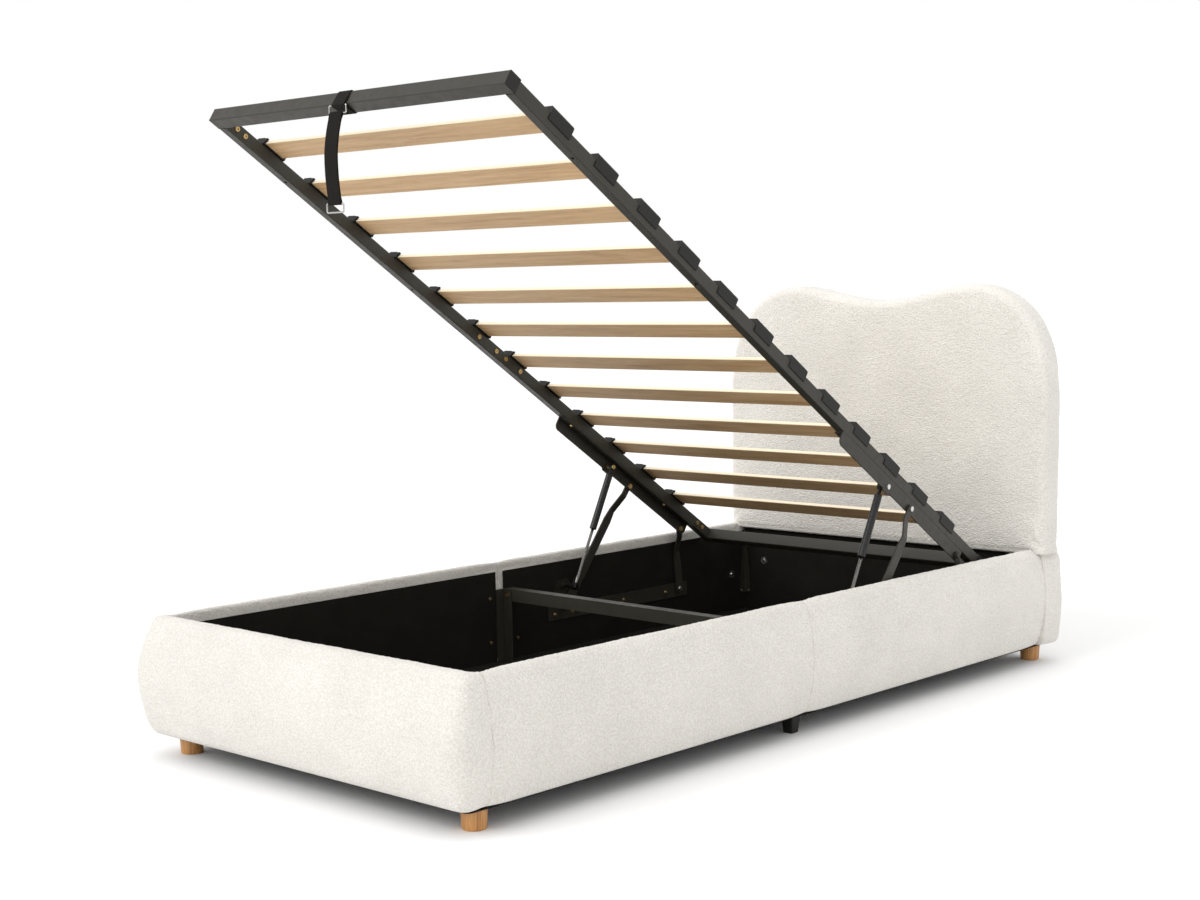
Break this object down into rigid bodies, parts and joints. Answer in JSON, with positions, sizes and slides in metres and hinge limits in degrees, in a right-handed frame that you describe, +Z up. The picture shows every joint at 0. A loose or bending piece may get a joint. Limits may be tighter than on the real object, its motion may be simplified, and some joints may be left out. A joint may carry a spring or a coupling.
{
  "type": "ottoman bed",
  "caption": "Single bed with a padded box, a padded cloud-shaped headboard and a slatted frame that lifts on hinged arms and gas struts over the storage space.",
  "frame": {"origin": "on the floor under the middle of the bed", "axes": "+Y towards the headboard along the bed's length, +X to the right side as seen from the foot, +Z up"},
  "size_m": [1.016, 2.1143, 1.3355],
  "materials": {
    "upholstery": "soft looped wool-like cover",
    "lining": "thin matt cloth",
    "board": "thin board covered with matt black cloth",
    "leg_wood": "clear lacquer",
    "slat_wood": "bent birch plywood, satin",
    "black_steel": "satin powder coat",
    "black_plastic": "moulded, fine texture",
    "brass_plated": "yellow zinc plating",
    "zinc": "zinc plating",
    "strut_black": "semi-gloss",
    "chrome": "polished",
    "webbing": "woven strap"
  },
  "bodies": {
    "box": {"foot_panel": "upholstery", "side_rail_foot_right": "upholstery", "side_rail_foot_left": "upholstery", "side_rail_head_right": "upholstery", "side_rail_head_left": "upholstery", "head_panel": "upholstery", "headboard": "upholstery", "lining_foot": "lining", "lining_head": "lining", "lining_right": "lining", "lining_left": "lining", "base_board": "board", "foot_front_right": "leg_wood", "foot_front_left": "leg_wood", "foot_head_right": "leg_wood", "foot_head_left": "leg_wood", "middle_leg_right": "black_plastic", "middle_leg_left": "black_plastic", "side_post_right": "black_steel", "side_post_left": "black_steel", "crossbar": "black_steel", "crossbar_bolts": "brass_plated", "joint_screws": "brass_plated", "corner_braces": "black_steel", "brace_screws": "zinc", "wall_washers": "zinc", "base_bracket_right": "black_steel", "base_bracket_left": "black_steel", "base_bolts": "brass_plated", "base_pivots": "zinc"},
    "slat_frame": {"frame_foot_tube": "black_steel", "frame_head_tube": "black_steel", "frame_rail_foot_right": "black_steel", "frame_rail_foot_left": "black_steel", "frame_rail_head_right": "black_steel", "frame_rail_head_left": "black_steel", "rail_joiners": "black_steel", "tube_caps": "black_plastic", "slats": "slat_wood", "slat_holders_right": "black_plastic", "slat_holders_left": "black_plastic", "lift_bracket_right": "black_steel", "lift_bracket_left": "black_steel", "frame_bolts": "brass_plated", "bracket_pins": "brass_plated", "strap_loop": "webbing", "strap_buckle": "chrome"},
    "strap_tail": {"strap_tail": "webbing", "strap_ring": "chrome"},
    "front_arm_right": {"front_arm_right": "black_steel"},
    "rear_arm_right": {"rear_arm_right": "black_steel"},
    "strut_cylinder_right": {"strut_cylinder_right": "strut_black", "strut_socket_right": "black_plastic"},
    "strut_rod_right": {"strut_rod_right": "chrome"},
    "front_arm_left": {"front_arm_left": "black_steel"},
    "rear_arm_left": {"rear_arm_left": "black_steel"},
    "strut_cylinder_left": {"strut_cylinder_left": "strut_black", "strut_socket_left": "black_plastic"},
    "strut_rod_left": {"strut_rod_left": "chrome"}
  },
  "joints": [
    {"name": "lift", "type": "hinge", "parent": "box", "child": "front_arm_right", "pos_m": [0, 0.22248, 0.155], "axis": [-1, 0, 0], "range_deg": [0, 43.72]},
    {"name": "frame_pivot", "type": "hinge", "parent": "front_arm_right", "child": "slat_frame", "pos_m": [0, 0.44856, 0.44312], "axis": [1, 0, 0], "range_deg": [0, 77.07]},
    {"name": "front_arm_left_pivot", "type": "hinge", "parent": "box", "child": "front_arm_left", "pos_m": [0, 0.22248, 0.155], "axis": [-1, 0, 0], "range_deg": [0, 43.72]},
    {"name": "rear_arm_right_pivot", "type": "hinge", "parent": "box", "child": "rear_arm_right", "pos_m": [0, 0.67221, 0.14], "axis": [-1, 0, 0], "range_deg": [0, 73.03]},
    {"name": "rear_arm_left_pivot", "type": "hinge", "parent": "box", "child": "rear_arm_left", "pos_m": [0, 0.67221, 0.14], "axis": [-1, 0, 0], "range_deg": [0, 73.03]},
    {"name": "strut_right_pivot", "type": "hinge", "parent": "slat_frame", "child": "strut_cylinder_right", "pos_m": [0, 0.3614, 0.50168], "axis": [-1, 0, 0], "range_deg": [0, 96.58]},
    {"name": "strut_right_slide", "type": "slide", "parent": "strut_cylinder_right", "child": "strut_rod_right", "axis": [0, 0.4437, 0.8962], "range_m": [0, 0.06495]},
    {"name": "strut_left_pivot", "type": "hinge", "parent": "slat_frame", "child": "strut_cylinder_left", "pos_m": [0, 0.3614, 0.50168], "axis": [-1, 0, 0], "range_deg": [0, 96.58]},
    {"name": "strut_left_slide", "type": "slide", "parent": "strut_cylinder_left", "child": "strut_rod_left", "axis": [0, 0.4437, 0.8962], "range_m": [0, 0.06495]},
    {"name": "strap_swing", "type": "hinge", "parent": "slat_frame", "child": "strap_tail", "pos_m": [-0.021, -0.83174, 1.29274], "axis": [1, 0, 0], "range_deg": [-5, 25]}
  ],
  "couplings": [
    {"joint": "frame_pivot", "follows": "lift", "ratio": 1.7629},
    {"joint": "front_arm_left_pivot", "follows": "lift", "ratio": 1},
    {"joint": "rear_arm_right_pivot", "follows": "lift", "ratio": 1.6705},
    {"joint": "rear_arm_left_pivot", "follows": "lift", "ratio": 1.6705},
    {"joint": "strut_right_pivot", "follows": "lift", "ratio": 2.2091},
    {"joint": "strut_right_slide", "follows": "lift", "m_per_rad": 0.085097},
    {"joint": "strut_left_pivot", "follows": "lift", "ratio": 2.2091},
    {"joint": "strut_left_slide", "follows": "lift", "m_per_rad": 0.085097}
  ]
}
